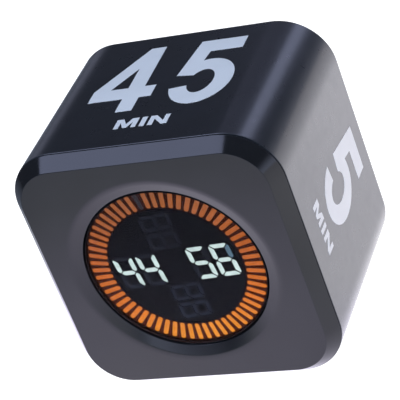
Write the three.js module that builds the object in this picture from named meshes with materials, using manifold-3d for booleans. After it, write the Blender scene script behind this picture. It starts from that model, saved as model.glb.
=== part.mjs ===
// Flip-cube kitchen timer: a rounded square tube with a round lit display in front
// and three buttons, a volume slider and a charging socket in the rear cover.
//
// Row frame, in millimetres: +Z up, the display faces -Y, and the origin is under
// the middle of the case, on the surface that it stands on.
// Pieces are drawn in a local "face" frame: X to the right, Y up and Z out of the
// display, with its origin at the middle of the front face. A depth is measured
// from the front face towards the rear, so it is minus local Z.

import * as THREE from 'three';
import { mergeVertices } from 'three/addons/utils/BufferGeometryUtils.js';
import Module from 'manifold-3d';

const wasm = await Module();
wasm.setup();

// ---- Driving dimensions ----------------------------------------------------

const SIDE = 60; // width and height of the case
const DEPTH = 45.7; // front face to rear edge
const HALF = SIDE / 2;
const CORNER_R = 11.5; // long edges of the case
const WALL = 2.2;
const GAP = 0.3; // clearance between pieces that rest on each other

const RIM_DEPTH = 3; // the bezel's chamfered rim
const CHAMFER_INSET = 2.55;
const PLATE_DEPTH = 2.4; // rear of the bezel's plate
const SKIRT_WALL = 1.4;
const SKIRT_END = 9;
const HOOK_WIDTH = 7.4;

const RECESS_R = 22.6; // conical recess in the bezel
const WINDOW_R = 19.95;
const WINDOW_DEPTH = 1.04;
const LIP_END = 1.6; // rear of the lip that holds the lens
const LENS_FRONT = 1.1;
const LENS_END = 2.3;
const POCKET_R = 22;

const DISPLAY_TURN = THREE.MathUtils.degToRad(3); // the display sits turned by this
const DISPLAY_R = 21;
const FACE_FRONT = 2.45;
const FACE_THICK = 0.8;
const BAR_COUNT = 60;
const BAR_INNER_R = 15;
const BAR_OUTER_R = 19.2;
const BAR_WIDTH = 1.1;
const DIGIT_WIDTH = 4.6;
const DIGIT_HEIGHT = 8.2;
const DIGIT_SLANT = -0.05; // sideways run per unit of height
const STROKE = 1.08;
const SEGMENT_GAP = 0.14;
const DIGIT_CUT = 0.5; // cut off the digits' outer corners
const ACROSS_DIGITS_X = [-11, -5.65, 6, 11.3]; // digits read with the case upright
const ALONG_DIGITS_Y = [-11.3, -6.6, 6.6, 11.3]; // digits read with the case on its side
const ALONG_SCALE = 0.88;
const DIGITS_MIDDLE = [-0.17, 0.13]; // from the middle of the ring of bars

const DIFFUSER_FRONT = 3.55;
const DIFFUSER_THICK = 0.4;
const BAFFLE_FRONT = 4.25;
const BAFFLE_END = 7.2;
const BOARD_THICK = 1.2;
const DISPLAY_BOARD_FRONT = 8.3;
const DISPLAY_BOARD_HALF = 24.5;
const DISPLAY_POST_XY = 18.4;

const HOLDER_FRONT = 20;
const HOLDER_THICK = 1.6;
const CELL_SIZE = [30, 36, 9];
const CELL_Y = 3;

const MAIN_BOARD_FRONT = 34.6;
const MAIN_BOARD_HALF = 24;
const MAIN_BOARD_THICK = 1.6;
const BOARD_POST_X = 20.5;
const BOARD_POST_Y = 14;

const COVER_THICK = 2.4;
const COVER_FRONT = DEPTH - COVER_THICK;
const COVER_GAP = 0.35;
const REAR_SCREW_XY = 21.9;
const SCREW_SINK = 1.5; // depth of the sinks for the rear screws' heads
const SCREW_SINK_R = 3;
const BOSS_R = 3.2;

const BUTTON_R = 4.4;
const BUTTON_Y = 8;
const BUTTON_X = { minute: 12, start: 0, second: -12 };
const BUTTON_SUNK = 0.3; // the caps stand this far inside the rear face
const SLIDER_X = 9;
const SLIDER_TRAVEL = 2;
const LOW_ROW_Y = -7; // the slider and the charging socket
const USB_X = -10;
const USB_HALF = [4.5, 1.65];
const BUZZER_Y = -17;
const SOUND_HOLE_R = 0.8;
const SOUND_RING_R = 2.8;

const CORNER_STEPS = 8;
const ROUND_STEPS = 60;
const SMALL_STEPS = 12;
const CAP_STEPS = 24;

// ---- Materials -------------------------------------------------------------

function plastic(color, roughness, metalness = 0) {
  return new THREE.MeshStandardMaterial({ color, roughness, metalness });
}

const LOOK = {
  satinBlack: plastic(0x1d1e22, 0.35),
  glossBlack: plastic(0x2b2b30, 0.2),
  smoked: new THREE.MeshStandardMaterial({
    color: 0x15161a, roughness: 0.05, transparent: true, opacity: 0.35,
  }),
  displayBlack: plastic(0x101115, 0.6),
  amber: plastic(0xff8a2a, 0.5),
  white: plastic(0xe8f4f4, 0.5),
  greyMoulding: plastic(0x707278, 0.6),
  board: plastic(0x1f5b3a, 0.5),
  steel: plastic(0xb8babd, 0.3, 1),
  chip: plastic(0x18181a, 0.5),
  foil: plastic(0xc9ccd0, 0.35, 0.8),
  redWire: plastic(0xb02018, 0.5),
  blackWire: plastic(0x141414, 0.5),
  cream: plastic(0xe6e2d3, 0.6),
};

// ---- Shapes and solids -----------------------------------------------------

function roundedRect(halfX, halfY, radius, steps = CORNER_STEPS) {
  const points = [];
  const corners = [[1, 1, 0], [-1, 1, 1], [-1, -1, 2], [1, -1, 3]];
  for (const [sx, sy, quarter] of corners) {
    for (let i = 0; i <= steps; i += 1) {
      const angle = (quarter + i / steps) * Math.PI / 2;
      points.push(new THREE.Vector2(
        sx * (halfX - radius) + radius * Math.cos(angle),
        sy * (halfY - radius) + radius * Math.sin(angle),
      ));
    }
  }
  return new THREE.Shape(points);
}

function squareShape(half, radius) {
  return roundedRect(half, half, radius);
}

function toSolid(geometry) {
  geometry.deleteAttribute('normal');
  geometry.deleteAttribute('uv');
  const merged = mergeVertices(geometry, 1e-5);
  return new wasm.Manifold(new wasm.Mesh({
    numProp: 3,
    vertProperties: new Float32Array(merged.attributes.position.array),
    triVerts: new Uint32Array(merged.index.array),
  }));
}

// A slab of the shape between two depths.
function slab(shape, front, rear) {
  const geometry = new THREE.ExtrudeGeometry(shape, { depth: rear - front, bevelEnabled: false });
  geometry.translate(0, 0, -rear);
  return toSolid(geometry);
}

function block(x, y, halfX, halfY, front, rear) {
  const geometry = new THREE.BoxGeometry(2 * halfX, 2 * halfY, rear - front);
  geometry.translate(x, y, -(front + rear) / 2);
  return toSolid(geometry);
}

// A round rod or, with a second radius at its rear, a cone between two depths.
function rod(x, y, radius, front, rear, steps = SMALL_STEPS, rearR = radius) {
  const geometry = new THREE.CylinderGeometry(radius, rearR, rear - front, steps);
  geometry.rotateX(Math.PI / 2);
  geometry.translate(x, y, -(front + rear) / 2);
  return toSolid(geometry);
}

function disc(radius, front, rear, rearR = radius) {
  return rod(0, 0, radius, front, rear, ROUND_STEPS, rearR);
}

function union(solids) {
  return solids.reduce((sum, solid) => sum.add(solid));
}

function turned(solid, angle) {
  return solid.rotate([0, 0, THREE.MathUtils.radToDeg(angle)]);
}

function corners(x, y = x) {
  return [[x, y], [-x, y], [-x, -y], [x, -y]];
}

const timer = new THREE.Group();
timer.name = 'kitchen_timer';
timer.rotation.x = Math.PI / 2;
timer.position.set(0, -DEPTH / 2, HALF);

function addPiece(name, solid, material) {
  const { vertProperties, triVerts } = solid.getMesh();
  const geometry = new THREE.BufferGeometry();
  geometry.setAttribute('position', new THREE.BufferAttribute(vertProperties, 3));
  geometry.setIndex(new THREE.BufferAttribute(triVerts, 1));
  geometry.computeVertexNormals();
  const mesh = new THREE.Mesh(geometry, material.clone());
  mesh.name = name;
  timer.add(mesh);
}

// ---- Case ------------------------------------------------------------------

function bodyTube() {
  const innerHalf = HALF - WALL;
  const innerR = CORNER_R - WALL;
  const front = RIM_DEPTH + GAP;
  let tube = slab(squareShape(HALF, CORNER_R), front, DEPTH);
  tube = tube.subtract(slab(squareShape(innerHalf, innerR), front - 1, DEPTH + 1));

  // Long bosses for the rear screws, each webbed to its corner.
  const bossEnd = COVER_FRONT - GAP;
  const cornerReach = Math.SQRT2 * (innerHalf - innerR) + innerR + WALL / 2;
  const bossReach = Math.SQRT2 * REAR_SCREW_XY;
  const web = block((cornerReach + bossReach) / 2, 0, (cornerReach - bossReach) / 2, 0.8, 31, bossEnd);
  corners(REAR_SCREW_XY).forEach(([x, y], i) => {
    tube = tube.add(rod(x, y, BOSS_R, 31, bossEnd));
    tube = tube.add(turned(web, (i + 0.5) * Math.PI / 2));
    tube = tube.subtract(rod(x, y, 1.5, 33, bossEnd + 1));
  });

  // Side blocks that carry the battery holder.
  for (const side of [-1, 1]) {
    const blockX = side * (innerHalf - 2);
    tube = tube.add(block(blockX, CELL_Y, 2.8, 3.5, 12, HOLDER_FRONT - GAP));
    tube = tube.subtract(rod(side * (innerHalf - 2.4), CELL_Y, 1.1, 14, HOLDER_FRONT + 1));
  }

  // Blind pockets for the bezel's hooks.
  const pocket = block(innerHalf, 0, 0.9, HOOK_WIDTH / 2 + GAP, 6.7, 8.7);
  for (let i = 0; i < 4; i += 1) {
    tube = tube.subtract(turned(pocket, i * Math.PI / 2));
  }
  return tube;
}

function frontBezel() {
  const front = new THREE.ExtrudeGeometry(squareShape(HALF, CORNER_R), {
    depth: 1,
    bevelThickness: RIM_DEPTH,
    bevelSize: CHAMFER_INSET,
    bevelOffset: -CHAMFER_INSET,
    bevelSegments: 1,
  });
  front.translate(0, 0, -1 - RIM_DEPTH);
  const frontHalf = block(0, 0, SIDE, SIDE, -1, RIM_DEPTH);
  let bezel = toSolid(front).intersect(frontHalf);

  const skirtHalf = HALF - WALL - GAP;
  const skirtR = CORNER_R - WALL - GAP;
  bezel = bezel.add(slab(squareShape(skirtHalf, skirtR), RIM_DEPTH - 0.5, SKIRT_END));
  bezel = bezel.subtract(
    slab(squareShape(skirtHalf - SKIRT_WALL, skirtR - SKIRT_WALL), PLATE_DEPTH, SKIRT_END + 1),
  );

  // Conical recess, lens window and the pocket behind its lip.
  const overcut = 0.5;
  const slope = (RECESS_R - WINDOW_R) / WINDOW_DEPTH;
  bezel = bezel.subtract(disc(RECESS_R + overcut * slope, -overcut, WINDOW_DEPTH, WINDOW_R));
  bezel = bezel.subtract(disc(WINDOW_R, WINDOW_DEPTH - 0.1, PLATE_DEPTH + 1));
  bezel = bezel.subtract(disc(POCKET_R, LIP_END, PLATE_DEPTH + 1));

  // Posts for the display board's screws.
  for (const [x, y] of corners(DISPLAY_POST_XY)) {
    bezel = bezel.add(rod(x, y, 2.2, PLATE_DEPTH - 0.2, DISPLAY_BOARD_FRONT - GAP));
    bezel = bezel.subtract(rod(x, y, 1.1, 3.2, DISPLAY_BOARD_FRONT));
  }

  // Hooks that snap into the tube's pockets.
  const hook = block(skirtHalf, 0, 0.6, HOOK_WIDTH / 2, 7.1, 8.3);
  for (let i = 0; i < 4; i += 1) {
    bezel = bezel.add(turned(hook, i * Math.PI / 2));
  }
  return bezel;
}

function displayLens() {
  const window = disc(WINDOW_R - GAP, LENS_FRONT, LENS_END);
  return window.add(disc(POCKET_R - GAP, LIP_END + GAP, LENS_END));
}

addPiece('body_tube', bodyTube(), LOOK.satinBlack);
addPiece('front_bezel', frontBezel(), LOOK.glossBlack);
addPiece('display_lens', displayLens(), LOOK.smoked);

// ---- Display ---------------------------------------------------------------

// One bar window with blunt ends, pointing along +Y.
function barShape() {
  const half = BAR_WIDTH / 2;
  const shoulder = 0.7 * half;
  const outline = [
    [half, BAR_OUTER_R - shoulder], [0, BAR_OUTER_R], [-half, BAR_OUTER_R - shoulder],
    [-half, BAR_INNER_R + shoulder], [0, BAR_INNER_R], [half, BAR_INNER_R + shoulder],
  ];
  return new THREE.Shape(outline.map(([x, y]) => new THREE.Vector2(x, y)));
}

// Outlines of a digit's seven segments, mitred to their neighbours, before the slant.
function digitSegments() {
  const side = DIGIT_WIDTH / 2;
  const top = DIGIT_HEIGHT / 2;
  const half = STROKE / 2;
  const reach = side - half - SEGMENT_GAP;
  const tip = (DIGIT_CUT + SEGMENT_GAP) / 2;
  const cut = (DIGIT_CUT - SEGMENT_GAP) / 2;
  const crossbar = [
    [reach, 0], [reach - half, half], [half - reach, half],
    [-reach, 0], [half - reach, -half], [reach - half, -half],
  ];
  const level = [
    [side - DIGIT_CUT, top], [DIGIT_CUT - side, top], [tip - side, top - cut],
    [half - reach, top - STROKE], [reach - half, top - STROKE], [side - tip, top - cut],
  ];
  const upright = [
    [side, half + SEGMENT_GAP], [side, top - DIGIT_CUT], [side - cut, top - tip],
    [side - STROKE, top - STROKE - SEGMENT_GAP], [side - STROKE, half + SEGMENT_GAP],
    [side - half, SEGMENT_GAP],
  ];
  const quarters = [[1, 1], [1, -1], [-1, 1], [-1, -1]];
  return [
    crossbar,
    ...[1, -1].map((sy) => mirrored(level, 1, sy)),
    ...quarters.map(([sx, sy]) => mirrored(upright, sx, sy)),
  ];
}

function mirrored(outline, sx, sy) {
  return outline.map(([x, y]) => [sx * x, sy * y]);
}

function slanted(outline) {
  return outline.map(([x, y]) => new THREE.Vector2(x + DIGIT_SLANT * y, y));
}

// Every digit's place: middle, turn and scale.
function digitPlaces() {
  const [middleX, middleY] = DIGITS_MIDDLE;
  const across = ACROSS_DIGITS_X.map((x) => ({ x: middleX + x, y: middleY, angle: 0, scale: 1 }));
  const along = ALONG_DIGITS_Y.map((y) => (
    { x: middleX, y: middleY + y, angle: Math.PI / 2, scale: ALONG_SCALE }
  ));
  return [...across, ...along];
}

function displayFace() {
  const rear = FACE_FRONT + FACE_THICK;
  let face = disc(DISPLAY_R, FACE_FRONT, DISPLAY_BOARD_FRONT - GAP);
  face = face.subtract(disc(DISPLAY_R - 1.1, rear, DISPLAY_BOARD_FRONT));

  const windows = [];
  const bar = slab(barShape(), FACE_FRONT - 0.5, rear + 0.5);
  for (let i = 0; i < BAR_COUNT; i += 1) {
    windows.push(turned(bar, 2 * Math.PI * i / BAR_COUNT));
  }
  for (const { x, y, angle, scale } of digitPlaces()) {
    for (const segment of digitSegments()) {
      const outline = slanted(segment).map((p) => p.multiplyScalar(scale));
      const cut = slab(new THREE.Shape(outline), FACE_FRONT - 0.5, rear + 0.5);
      windows.push(turned(cut, angle).translate([x, y, 0]));
    }
  }
  return face.subtract(union(windows));
}

function barDiffuser() {
  const rear = DIFFUSER_FRONT + DIFFUSER_THICK;
  const inner = disc(14.5, DIFFUSER_FRONT - 1, rear + 1);
  return disc(BAR_OUTER_R + 0.3, DIFFUSER_FRONT, rear).subtract(inner);
}

function digitDiffuser() {
  return disc(14.5 - GAP, DIFFUSER_FRONT, DIFFUSER_FRONT + DIFFUSER_THICK);
}

// Walls that keep each lit field's light to itself.
function lightBaffle() {
  const before = BAFFLE_FRONT - 1;
  const after = BAFFLE_END + 1;
  let channel = disc(BAR_OUTER_R - 0.2, before, after);
  channel = channel.subtract(disc(BAR_INNER_R - 0.2, before - 1, after + 1));
  for (let i = 0; i < 12; i += 1) {
    const spoke = block(0, (BAR_INNER_R + BAR_OUTER_R) / 2, 0.3, 4, before, after);
    channel = channel.subtract(turned(spoke, 2 * Math.PI * i / 12));
  }
  const pair = block(8.6, 0, 5.4, 4.4, before, after);
  const sidePair = block(0, 9.3, 4.2, 4.2, before, after);
  const fields = union([pair, turned(pair, Math.PI), sidePair, turned(sidePair, Math.PI)]);
  const rim = disc(14.2, before, after);
  return disc(BAR_OUTER_R + 0.4, BAFFLE_FRONT, BAFFLE_END)
    .subtract(channel)
    .subtract(fields.intersect(rim));
}

// The board with one light chip soldered on behind each bar.
function displayBoard() {
  const rear = DISPLAY_BOARD_FRONT + BOARD_THICK;
  let board = slab(squareShape(DISPLAY_BOARD_HALF, 6), DISPLAY_BOARD_FRONT, rear);
  for (const [x, y] of corners(DISPLAY_POST_XY)) {
    board = board.subtract(rod(x, y, 1.4, DISPLAY_BOARD_FRONT - 1, rear + 1));
  }
  const chip = block(0, (BAR_INNER_R + BAR_OUTER_R) / 2, 0.4, 0.8, DISPLAY_BOARD_FRONT - 0.6, rear - 0.2);
  const chips = [];
  for (let i = 0; i < BAR_COUNT; i += 1) {
    chips.push(turned(chip, 2 * Math.PI * (i + 0.5) / BAR_COUNT));
  }
  return board.add(union(chips));
}

addPiece('display_face', turned(displayFace(), DISPLAY_TURN), LOOK.displayBlack);
addPiece('bar_diffuser', barDiffuser(), LOOK.amber);
addPiece('digit_diffuser', digitDiffuser(), LOOK.white);
addPiece('light_baffle', turned(lightBaffle(), DISPLAY_TURN), LOOK.greyMoulding);
addPiece('display_board', displayBoard(), LOOK.board);

// ---- Screws ----------------------------------------------------------------

// A pan-head screw pointing to the front, with a cross slot in its head.
function screw(x, y, headR, shankR, seat, headThick, length) {
  const top = seat + headThick;
  const slotDepth = 0.55 * headThick;
  const head = rod(x, y, headR, seat, top, 10, 0.82 * headR);
  const shank = rod(x, y, shankR, seat - length, seat + 0.2, 8);
  const slot = block(x, y, 0.6 * headR, 0.14 * headR, top - slotDepth, top + 1);
  const cross = block(x, y, 0.14 * headR, 0.6 * headR, top - slotDepth, top + 1);
  return head.add(shank).subtract(slot.add(cross));
}

corners(DISPLAY_POST_XY).forEach(([x, y], i) => {
  const seat = DISPLAY_BOARD_FRONT + BOARD_THICK + GAP;
  addPiece(`display_screw_${i + 1}`, screw(x, y, 1.9, 0.8, seat, 1.1, 6), LOOK.steel);
});

// ---- Battery ---------------------------------------------------------------

function batteryHolder() {
  const [width, height] = CELL_SIZE;
  const rear = HOLDER_FRONT + HOLDER_THICK;
  const outer = block(0, CELL_Y, width / 2 + 1.6, height / 2 + 1.6, HOLDER_FRONT, rear + 6);
  const pocket = block(0, CELL_Y, width / 2 + GAP, height / 2 + GAP, rear, rear + 7);
  const leadNotch = block(9, CELL_Y + height / 2, 3, 3, rear + 2, rear + 7);
  let holder = outer.subtract(pocket).subtract(leadNotch);
  holder = holder.add(block(0, CELL_Y, HALF - WALL - 0.8, 4, HOLDER_FRONT, rear));
  for (const side of [-1, 1]) {
    holder = holder.subtract(rod(side * (HALF - WALL - 2.4), CELL_Y, 1.4, HOLDER_FRONT - 1, rear + 1));
  }
  return holder;
}

function batteryCell() {
  const [width, height, thick] = CELL_SIZE;
  const front = HOLDER_FRONT + HOLDER_THICK + GAP;
  const shape = roundedRect(width / 2, height / 2, 1.5, 3);
  const pouch = new THREE.ExtrudeGeometry(shape, {
    depth: thick - 2,
    bevelThickness: 1,
    bevelSize: 1,
    bevelOffset: -1,
    bevelSegments: 2,
  });
  pouch.translate(0, CELL_Y, 1 - front - thick);
  return toSolid(pouch);
}

// A wire or ribbon swept along a smooth curve through the given points.
function sweep(points, shape, steps) {
  const path = new THREE.CatmullRomCurve3(points.map(([x, y, depth]) => new THREE.Vector3(x, y, -depth)));
  return toSolid(new THREE.ExtrudeGeometry(shape, { steps, bevelEnabled: false, extrudePath: path }));
}

function wireShape(radius) {
  const points = [];
  for (let i = 0; i < 6; i += 1) {
    const angle = i * Math.PI / 3;
    points.push(new THREE.Vector2(radius * Math.cos(angle), radius * Math.sin(angle)));
  }
  return new THREE.Shape(points);
}

const CELL_REAR = HOLDER_FRONT + HOLDER_THICK + GAP + CELL_SIZE[2];
const CELL_TOP = CELL_Y + CELL_SIZE[1] / 2;
const PLUG_X = 9;
const PLUG_TOP = 19.2;
const PLUG_DEPTHS = [CELL_REAR + 0.6, CELL_REAR + 3.1];

// A lead leaves the cell's top edge and loops back over it into the plug.
function batteryLead(side) {
  const x = PLUG_X + side;
  return sweep([
    [x, CELL_TOP + 0.4, CELL_REAR - 3.5],
    [x + 0.3 * side, CELL_TOP + 1.6, CELL_REAR - 3.2],
    [x + 0.6 * side, CELL_TOP + 2.3, CELL_REAR - 1.2],
    [x + 0.3 * side, CELL_TOP + 1.6, CELL_REAR + 0.9],
    [x, PLUG_TOP + 0.9, CELL_REAR + 1.8],
    [x, PLUG_TOP + 0.3, CELL_REAR + 1.85],
  ], wireShape(0.5), 14);
}

addPiece('battery_holder', batteryHolder(), LOOK.greyMoulding);
addPiece('battery_cell', batteryCell(), LOOK.foil);
[-1, 1].forEach((side, i) => {
  const seat = HOLDER_FRONT + HOLDER_THICK + GAP;
  const piece = screw(side * (HALF - WALL - 2.4), CELL_Y, 1.9, 0.8, seat, 1.1, 6.5);
  addPiece(`holder_screw_${i + 1}`, piece, LOOK.steel);
});

// ---- Main board ------------------------------------------------------------

const BOARD_REAR = MAIN_BOARD_FRONT + MAIN_BOARD_THICK;
const PART_SEAT = BOARD_REAR + GAP; // parts on the board's rear side
const CHIP_END = MAIN_BOARD_FRONT - GAP; // parts on the board's front side

function mainBoard() {
  let board = slab(squareShape(MAIN_BOARD_HALF, 4), MAIN_BOARD_FRONT, BOARD_REAR);
  for (const [x, y] of corners(REAR_SCREW_XY)) {
    board = board.subtract(rod(x, y, BOSS_R + 0.8, MAIN_BOARD_FRONT - 1, BOARD_REAR + 1, 16));
  }
  for (const [x, y] of corners(BOARD_POST_X, BOARD_POST_Y)) {
    board = board.subtract(rod(x, y, 1.4, MAIN_BOARD_FRONT - 1, BOARD_REAR + 1));
  }
  return board;
}

// A push switch: a square body with a well that its plunger slides in.
function pushSwitch(x) {
  const body = block(x, BUTTON_Y, 3, 3, PART_SEAT, PART_SEAT + 3.5);
  return body.subtract(rod(x, BUTTON_Y, 2, PART_SEAT + 0.3, PART_SEAT + 4));
}

function switchPlunger(x) {
  return rod(x, BUTTON_Y, 1.6, PART_SEAT + 1.2, PART_SEAT + 5.3);
}

// A push-button cap with a retaining flange and a stem behind it.
function buttonCap(x) {
  const flangeEnd = COVER_FRONT - GAP;
  const cap = rod(x, BUTTON_Y, BUTTON_R, flangeEnd - 1, DEPTH - BUTTON_SUNK, CAP_STEPS);
  return cap.add(rod(x, BUTTON_Y, BUTTON_R + 0.9, flangeEnd - 0.9, flangeEnd, CAP_STEPS));
}

const SLIDER_PLATE = [7, 2.9]; // half sizes of the slider's hidden plate
const SLIDER_SLOT = [4.6, 1.9]; // half sizes of its slot in the cover
const LEVER_HALF = 0.9;

function slideSwitch() {
  const body = block(SLIDER_X, LOW_ROW_Y, 6, 2.6, PART_SEAT, PART_SEAT + 3.2);
  const halfSlot = LEVER_HALF + SLIDER_TRAVEL + 0.4;
  const slot = block(SLIDER_X, LOW_ROW_Y, halfSlot, LEVER_HALF + GAP, PART_SEAT + 0.8, PART_SEAT + 4);
  return body.subtract(slot);
}

function switchLever() {
  return block(SLIDER_X, LOW_ROW_Y, LEVER_HALF, LEVER_HALF, PART_SEAT + 1.2, PART_SEAT + 5);
}

// The slider: a hidden plate, a ribbed grip in the slot and a fork over the lever.
function volumeSlider() {
  const plateEnd = COVER_FRONT - GAP;
  const gripEnd = DEPTH - BUTTON_SUNK;
  const at = (halfX, halfY, front, rear, offset = 0) => (
    block(SLIDER_X + offset, LOW_ROW_Y, halfX, halfY, front, rear)
  );
  let slider = at(SLIDER_PLATE[0], SLIDER_PLATE[1], plateEnd - 1.2, plateEnd);
  slider = slider.add(at(2.2, 2.2, plateEnd - 2.4, plateEnd - 1));
  slider = slider.add(at(2.3, SLIDER_SLOT[1] - GAP, plateEnd - 0.5, gripEnd));
  slider = slider.subtract(at(LEVER_HALF + GAP, LEVER_HALF + GAP, plateEnd - 3, plateEnd - 0.9));
  for (const offset of [-1.2, 0, 1.2]) {
    slider = slider.subtract(at(0.3, 2, gripEnd - 0.5, DEPTH, offset));
  }
  return slider;
}

// The charging socket stands on end: a steel shell with a tongue inside.
function usbSocket() {
  const mouth = DEPTH - 0.5;
  const at = (solid) => solid.translate([USB_X, LOW_ROW_Y, 0]);
  const [halfX, halfY] = USB_HALF;
  const sheet = 0.3;
  const shell = at(slab(roundedRect(halfX, halfY, halfY - 0.05, 4), PART_SEAT, mouth));
  const opening = roundedRect(halfX - sheet, halfY - sheet, halfY - sheet - 0.05, 4);
  const inside = at(slab(opening, PART_SEAT + 2, mouth + 1));
  return shell.subtract(inside).add(block(USB_X, LOW_ROW_Y, 3.3, 0.35, PART_SEAT + 1, mouth - 1));
}

function buzzer() {
  const end = COVER_FRONT - 0.8;
  const can = rod(0, BUZZER_Y, 6, PART_SEAT, end, CAP_STEPS);
  return can.subtract(rod(0, BUZZER_Y, 1, end - 2, end + 1));
}

addPiece('main_board', mainBoard(), LOOK.board);
for (const [name, x] of Object.entries(BUTTON_X)) {
  addPiece(`${name}_switch`, pushSwitch(x), LOOK.chip);
  addPiece(`${name}_plunger`, switchPlunger(x), LOOK.cream);
  addPiece(`${name}_button`, buttonCap(x), LOOK.glossBlack);
}
addPiece('volume_switch', slideSwitch(), LOOK.steel);
addPiece('volume_lever', switchLever(), LOOK.cream);
addPiece('volume_slider', volumeSlider(), LOOK.glossBlack);
addPiece('usb_socket', usbSocket(), LOOK.steel);
addPiece('buzzer', buzzer(), LOOK.chip);
addPiece('controller_chip', block(-4, -4, 3.5, 3.5, CHIP_END - 1, CHIP_END), LOOK.chip);
addPiece('motion_sensor', block(-14, 10, 1.5, 1.5, CHIP_END - 0.9, CHIP_END), LOOK.chip);
addPiece('charger_chip', block(-12, -12, 2.5, 2, CHIP_END - 1.2, CHIP_END), LOOK.chip);
addPiece('battery_plug', block(PLUG_X, PLUG_TOP - 1.2, 2.4, 1.2, ...PLUG_DEPTHS), LOOK.cream);
addPiece('battery_socket', block(PLUG_X, PLUG_TOP - 4.4, 3, 1.7, CELL_REAR + 0.4, CHIP_END), LOOK.cream);
addPiece('battery_lead_red', batteryLead(1), LOOK.redWire);
addPiece('battery_lead_black', batteryLead(-1), LOOK.blackWire);
corners(BOARD_POST_X, BOARD_POST_Y).forEach(([x, y], i) => {
  const piece = screw(x, y, 1.9, 0.8, 0, 1.1, 6).scale([1, 1, -1]);
  addPiece(`board_screw_${i + 1}`, piece.translate([0, 0, -CHIP_END]), LOOK.steel);
});

// ---- Ribbon between the two boards -----------------------------------------

const RIBBON_Y = -21;
const DISPLAY_SOCKET_END = DISPLAY_BOARD_FRONT + BOARD_THICK + GAP + 1.6;

function ribbonCable() {
  const start = DISPLAY_SOCKET_END + GAP;
  const end = CHIP_END - 1.6 - GAP;
  const halfThick = 0.15;
  const shape = new THREE.Shape([[1, 4], [-1, 4], [-1, -4], [1, -4]]
    .map(([x, y]) => new THREE.Vector2(x * halfThick, y)));
  const path = [[0, RIBBON_Y, start], [0, RIBBON_Y, start + 3], [0, RIBBON_Y - 2, start + 8],
    [0, RIBBON_Y - 2.4, end - 7], [0, RIBBON_Y, end - 3], [0, RIBBON_Y, end]];
  return sweep(path, shape, 14);
}

function ribbonSocket(rear) {
  return block(0, RIBBON_Y, 5, 1.4, rear - 1.6, rear);
}

addPiece('display_socket', ribbonSocket(DISPLAY_SOCKET_END), LOOK.cream);
addPiece('ribbon_socket', ribbonSocket(CHIP_END), LOOK.cream);
addPiece('ribbon_cable', ribbonCable(), LOOK.cream);

// ---- Rear cover ------------------------------------------------------------

// The rear cover, with posts for the main board and openings for the controls.
function rearCover() {
  const half = HALF - WALL - COVER_GAP;
  const before = COVER_FRONT - 1;
  const after = DEPTH + 1;
  let cover = slab(squareShape(half, CORNER_R - WALL - COVER_GAP), COVER_FRONT, DEPTH);
  for (const [x, y] of corners(BOARD_POST_X, BOARD_POST_Y)) {
    cover = cover.add(rod(x, y, 2.2, PART_SEAT, COVER_FRONT + 0.5));
    cover = cover.subtract(rod(x, y, 1.1, PART_SEAT - 1, COVER_FRONT - 0.2));
  }

  const openings = [];
  for (const [x, y] of corners(REAR_SCREW_XY)) {
    openings.push(rod(x, y, 1.5, before, after));
    openings.push(rod(x, y, SCREW_SINK_R, DEPTH - SCREW_SINK, after, 20));
  }
  for (const x of Object.values(BUTTON_X)) {
    openings.push(rod(x, BUTTON_Y, BUTTON_R + GAP, before, after, CAP_STEPS));
  }
  openings.push(block(SLIDER_X, LOW_ROW_Y, SLIDER_SLOT[0], SLIDER_SLOT[1], before, after));
  const port = slab(roundedRect(USB_HALF[0] + GAP, USB_HALF[1] + GAP, USB_HALF[1] + 0.25, 4), before, after);
  openings.push(port.translate([USB_X, LOW_ROW_Y, 0]));
  openings.push(rod(0, BUZZER_Y, SOUND_HOLE_R, before, after, 8));
  for (let i = 0; i < 6; i += 1) {
    const angle = i * Math.PI / 3;
    const x = SOUND_RING_R * Math.cos(angle);
    const y = BUZZER_Y + SOUND_RING_R * Math.sin(angle);
    openings.push(rod(x, y, SOUND_HOLE_R, before, after, 8));
  }
  return cover.subtract(union(openings));
}

addPiece('rear_cover', rearCover(), LOOK.satinBlack);
corners(REAR_SCREW_XY).forEach(([x, y], i) => {
  addPiece(`rear_screw_${i + 1}`, screw(x, y, 2.6, 1.2, DEPTH - SCREW_SINK + GAP, 1, 9), LOOK.steel);
});

export default timer;
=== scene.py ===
"""Looks for a flip-cube kitchen timer, built round its CAD frame.

Row frame: +Z up, the display faces -Y. Shapes are drawn in the case's own face frame, in
millimetres: x to the right, up from the middle of the case, and depth from the front face
towards the rear. place() turns a point of it into the row frame in metres.
"""

import math

import bmesh
import bpy
from mathutils import Matrix, Vector


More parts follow.
